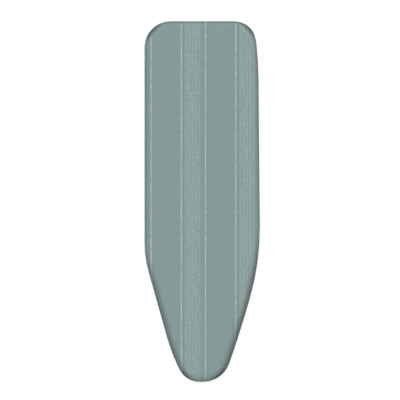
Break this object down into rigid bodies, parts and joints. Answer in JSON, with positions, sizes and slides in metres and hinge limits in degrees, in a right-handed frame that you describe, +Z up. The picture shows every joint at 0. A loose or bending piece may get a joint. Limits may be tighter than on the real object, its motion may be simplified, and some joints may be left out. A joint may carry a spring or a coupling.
{
  "type": "ironing board cover",
  "caption": "Fitted ironing board cover: striped cloth over foam and felt, with a drawcord hem, a cord lock and elastic underside straps ending in spring clips.",
  "frame": {"origin": "under the middle of the cover's length and width, on the surface that its clips and straps rest on", "axes": "+Z up through the ironing face, +Y along the length towards the square tail, +X to the right as the picture shows it"},
  "size_m": [0.3864, 1.208, 0.0445],
  "materials": {
    "striped_cloth": "matte",
    "foam": "matte",
    "felt": "matte",
    "hem_tape": "matte",
    "cord": "matte",
    "label": "satin",
    "elastic_webbing": "matte",
    "clip_plastic": "satin",
    "button_plastic": "satin",
    "spring_steel": "satin"
  },
  "bodies": {
    "cover": {"cover_cloth": "striped_cloth", "foam_pad": "foam", "felt_underlay": "felt", "hem_casing": "hem_tape", "drawcord": "cord", "care_label": "label", "cord_end_piece": "clip_plastic", "strap_1_webbing": "elastic_webbing", "strap_1_clip_body": "clip_plastic", "strap_1_clip_pin": "spring_steel", "strap_1_clip_spring": "spring_steel", "strap_2_webbing": "elastic_webbing", "strap_2_clip_body": "clip_plastic", "strap_2_clip_pin": "spring_steel", "strap_2_clip_spring": "spring_steel", "strap_3_webbing": "elastic_webbing", "strap_3_clip_body": "clip_plastic", "strap_3_clip_pin": "spring_steel", "strap_3_clip_spring": "spring_steel"},
    "cord_lock": {"cord_lock_barrel": "clip_plastic", "cord_lock_spring": "spring_steel"},
    "lock_button": {"cord_lock_button": "button_plastic"},
    "clip_1_jaw": {"strap_1_clip_jaw": "clip_plastic"},
    "clip_2_jaw": {"strap_2_clip_jaw": "clip_plastic"},
    "clip_3_jaw": {"strap_3_clip_jaw": "clip_plastic"}
  },
  "joints": [
    {"name": "cord_lock_slide", "type": "slide", "parent": "cover", "child": "cord_lock", "axis": [0, -1, 0], "range_m": [0, 0.04]},
    {"name": "lock_button_press", "type": "slide", "parent": "cord_lock", "child": "lock_button", "axis": [-1, 0, 0], "range_m": [0, 0.0035], "stiffness_N_per_m": 300, "springref_m": -0.004, "deforming": ["cord_lock_spring"]},
    {"name": "clip_1_open", "type": "hinge", "parent": "cover", "child": "clip_1_jaw", "pos_m": [0.11821, 0.39, 0.006], "axis": [0, 1, 0], "range_deg": [0, 35], "stiffness_Nm_per_rad": 0.02, "springref_deg": -34.38, "deforming": ["strap_1_clip_spring"]},
    {"name": "clip_2_open", "type": "hinge", "parent": "cover", "child": "clip_2_jaw", "pos_m": [0.12028, 0.156, 0.006], "axis": [0, 1, 0], "range_deg": [0, 35], "stiffness_Nm_per_rad": 0.02, "springref_deg": -34.38, "deforming": ["strap_2_clip_spring"]},
    {"name": "clip_3_open", "type": "hinge", "parent": "cover", "child": "clip_3_jaw", "pos_m": [0.12235, -0.078, 0.006], "axis": [0, 1, 0], "range_deg": [0, 35], "stiffness_Nm_per_rad": 0.02, "springref_deg": -34.38, "deforming": ["strap_3_clip_spring"]}
  ]
}
